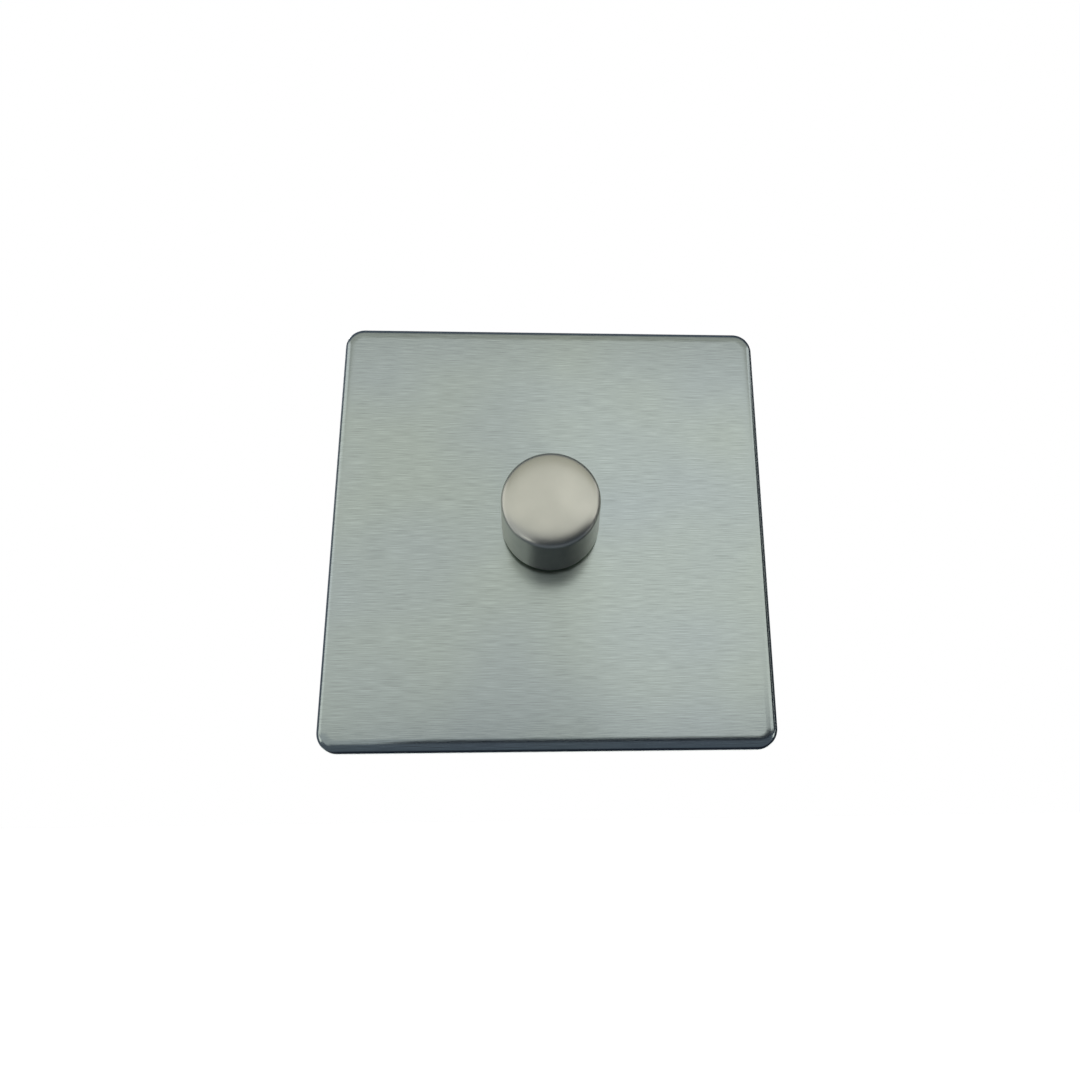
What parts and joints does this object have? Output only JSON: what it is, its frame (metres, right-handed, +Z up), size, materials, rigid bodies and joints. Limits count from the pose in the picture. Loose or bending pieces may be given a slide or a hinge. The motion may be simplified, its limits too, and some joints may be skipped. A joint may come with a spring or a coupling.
{
  "type": "dimmer switch",
  "caption": "Square brushed steel wall plate with rolled edges and a round satin knob that turns to dim and pushes to switch.",
  "frame": {"origin": "centre of the plate on the wall plane, midway between the two fixing holes", "axes": "seen from the room, +X right and +Z up; +Y runs into the wall, so the plate and knob face -Y"},
  "size_m": [0.086, 0.0461, 0.086],
  "materials": {
    "plate_steel": "satin",
    "satin_nickel": "satin",
    "liner_plastic": "matte",
    "zinc_steel": "satin",
    "terminal_brass": "satin",
    "bush_brass": "satin",
    "insert_plastic": "matte",
    "plunger_plastic": "matte",
    "spindle_alloy": "satin",
    "spring_steel": "satin",
    "case_plastic": "matte",
    "contact_copper": "satin",
    "tinned_brass": "satin",
    "track_laminate": "matte",
    "board_laminate": "matte",
    "sink_aluminium": "satin",
    "component_black": "matte",
    "ferrite": "matte",
    "winding_copper": "gloss",
    "capacitor_shell": "gloss",
    "resistor_body": "satin",
    "diode_glass": "gloss",
    "fuse_ceramic": "satin"
  },
  "bodies": {
    "body": {"front_plate": "plate_steel", "plate_liner": "liner_plastic", "mounting_frame": "zinc_steel", "earth_terminal": "terminal_brass", "earth_screw": "zinc_steel", "bush": "bush_brass", "bush_washer": "zinc_steel", "bush_nut": "zinc_steel", "pot_case": "insert_plastic", "switch_case": "insert_plastic", "module_cover": "case_plastic", "module_base": "case_plastic", "cover_screws": "zinc_steel", "terminals": "terminal_brass", "resistance_track": "track_laminate", "track_tags": "tinned_brass", "circuit_board": "board_laminate", "heat_sink": "sink_aluminium", "triac": "component_black", "triac_screw": "zinc_steel", "choke_core": "ferrite", "choke_winding": "winding_copper", "suppressor_capacitor": "capacitor_shell", "timing_capacitor": "capacitor_shell", "resistors": "resistor_body", "diac": "diode_glass", "fuse": "fuse_ceramic", "terminal_screws": "zinc_steel", "fixed_contacts": "contact_copper", "return_spring": "spring_steel"},
    "rotor": {"rotor": "insert_plastic", "wiper": "contact_copper"},
    "knob": {"spindle": "spindle_alloy", "spindle_clip": "spring_steel", "knob_cap": "satin_nickel", "knob_insert": "insert_plastic", "knob_grip_ring": "spring_steel"},
    "plunger": {"switch_plunger": "plunger_plastic", "switch_bridge": "contact_copper"}
  },
  "joints": [
    {"name": "knob_turn", "type": "hinge", "parent": "body", "child": "rotor", "pos_m": [0, 0, 0], "axis": [0, 1, 0], "range_deg": [-150, 150]},
    {"name": "knob_push", "type": "slide", "parent": "rotor", "child": "knob", "axis": [0, 1, 0], "range_m": [0, 0.0016], "stiffness_N_per_m": 3000},
    {"name": "plunger_slide", "type": "slide", "parent": "body", "child": "plunger", "axis": [0, 1, 0], "range_m": [0, 0.0016], "deforming": ["return_spring"]}
  ],
  "couplings": [
    {"joint": "plunger_slide", "follows": "knob_push", "ratio": 1}
  ]
}
